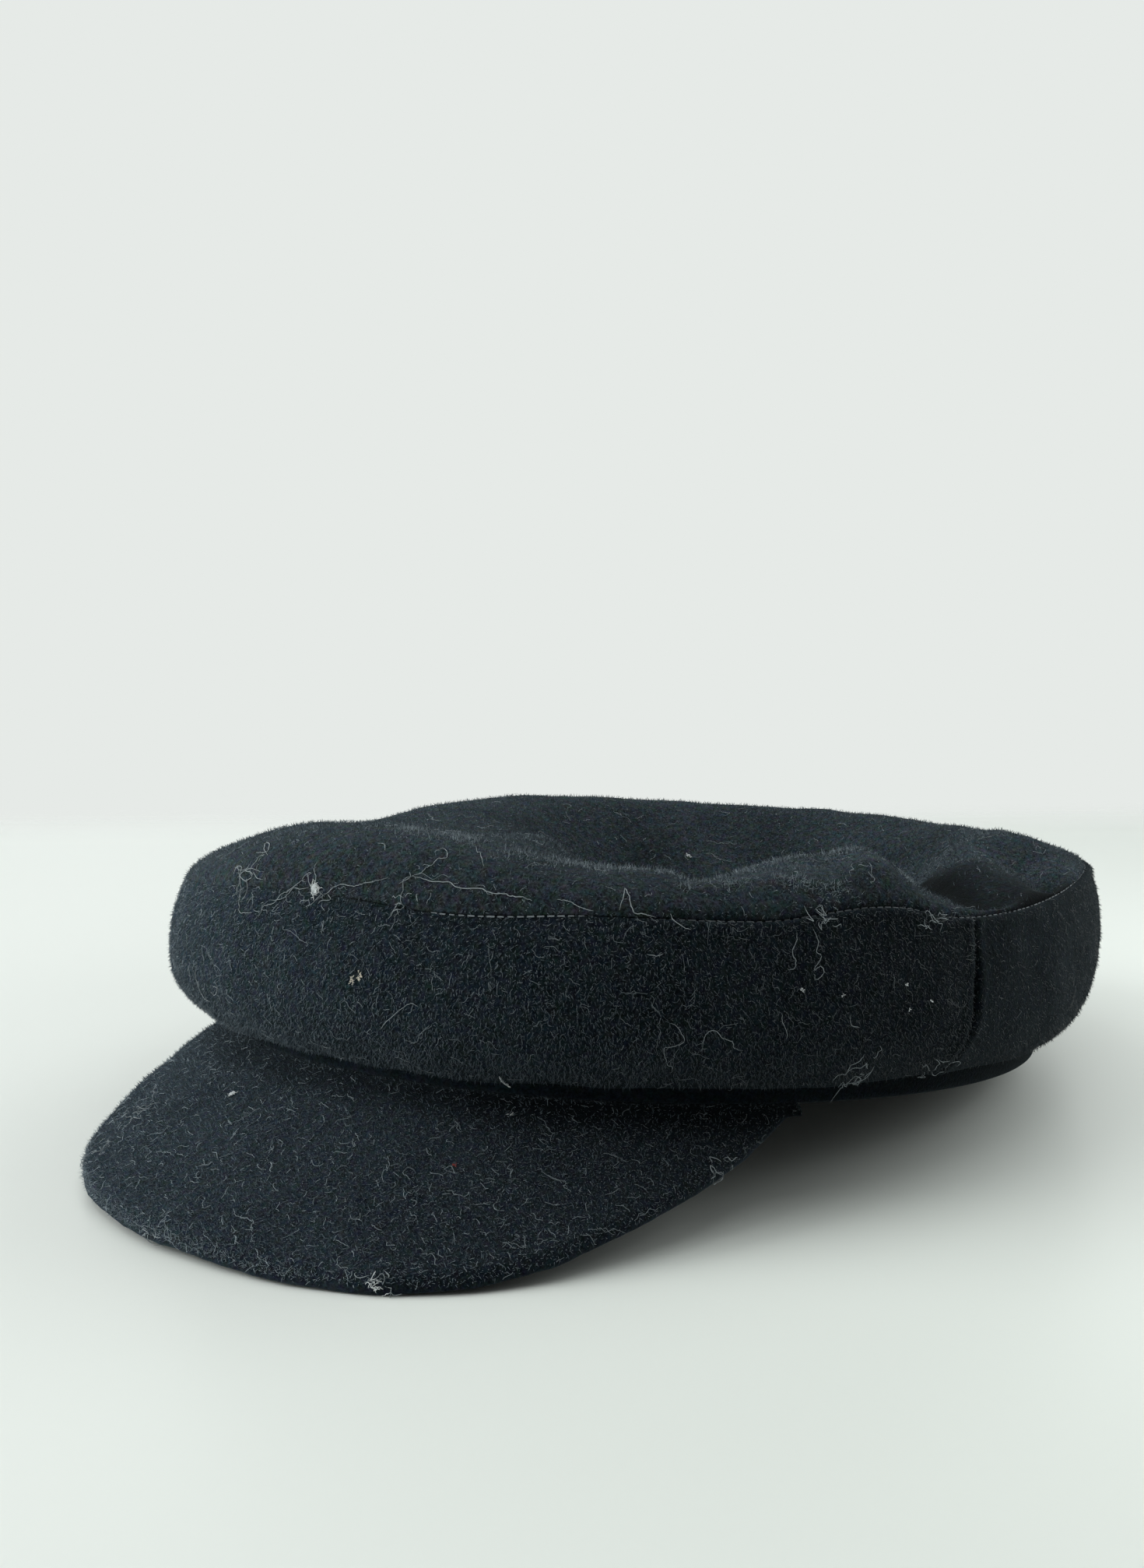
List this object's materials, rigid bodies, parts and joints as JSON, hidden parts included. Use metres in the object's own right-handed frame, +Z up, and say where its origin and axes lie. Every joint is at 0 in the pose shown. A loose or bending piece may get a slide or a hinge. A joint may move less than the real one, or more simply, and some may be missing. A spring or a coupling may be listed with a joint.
{
  "type": "peaked cap",
  "caption": "Soft wool peaked cap with a puffed, dented crown, two-panel side, headband and cloth-covered peak, open below for the head.",
  "frame": {"origin": "on the table under the middle of the cap's box", "axes": "-Y is the cap's front, where the peak is; +X is the wearer's left; +Z is up from the table"},
  "size_m": [0.1966, 0.2634, 0.0706],
  "materials": {
    "crown_cloth": "milled wool melton, dark navy, soft short nap with pale stray fibres",
    "side_cloth": "milled wool melton, dark navy, soft short nap with pale stray fibres",
    "band_cloth": "milled wool melton, dark navy, matte",
    "peak_cloth": "milled wool melton, dark navy, drawn tight over the peak, matte"
  },
  "bodies": {
    "root": {"crown_tip": "crown_cloth", "side_front": "side_cloth", "side_back": "side_cloth", "headband": "band_cloth", "peak": "peak_cloth"}
  },
  "joints": []
}
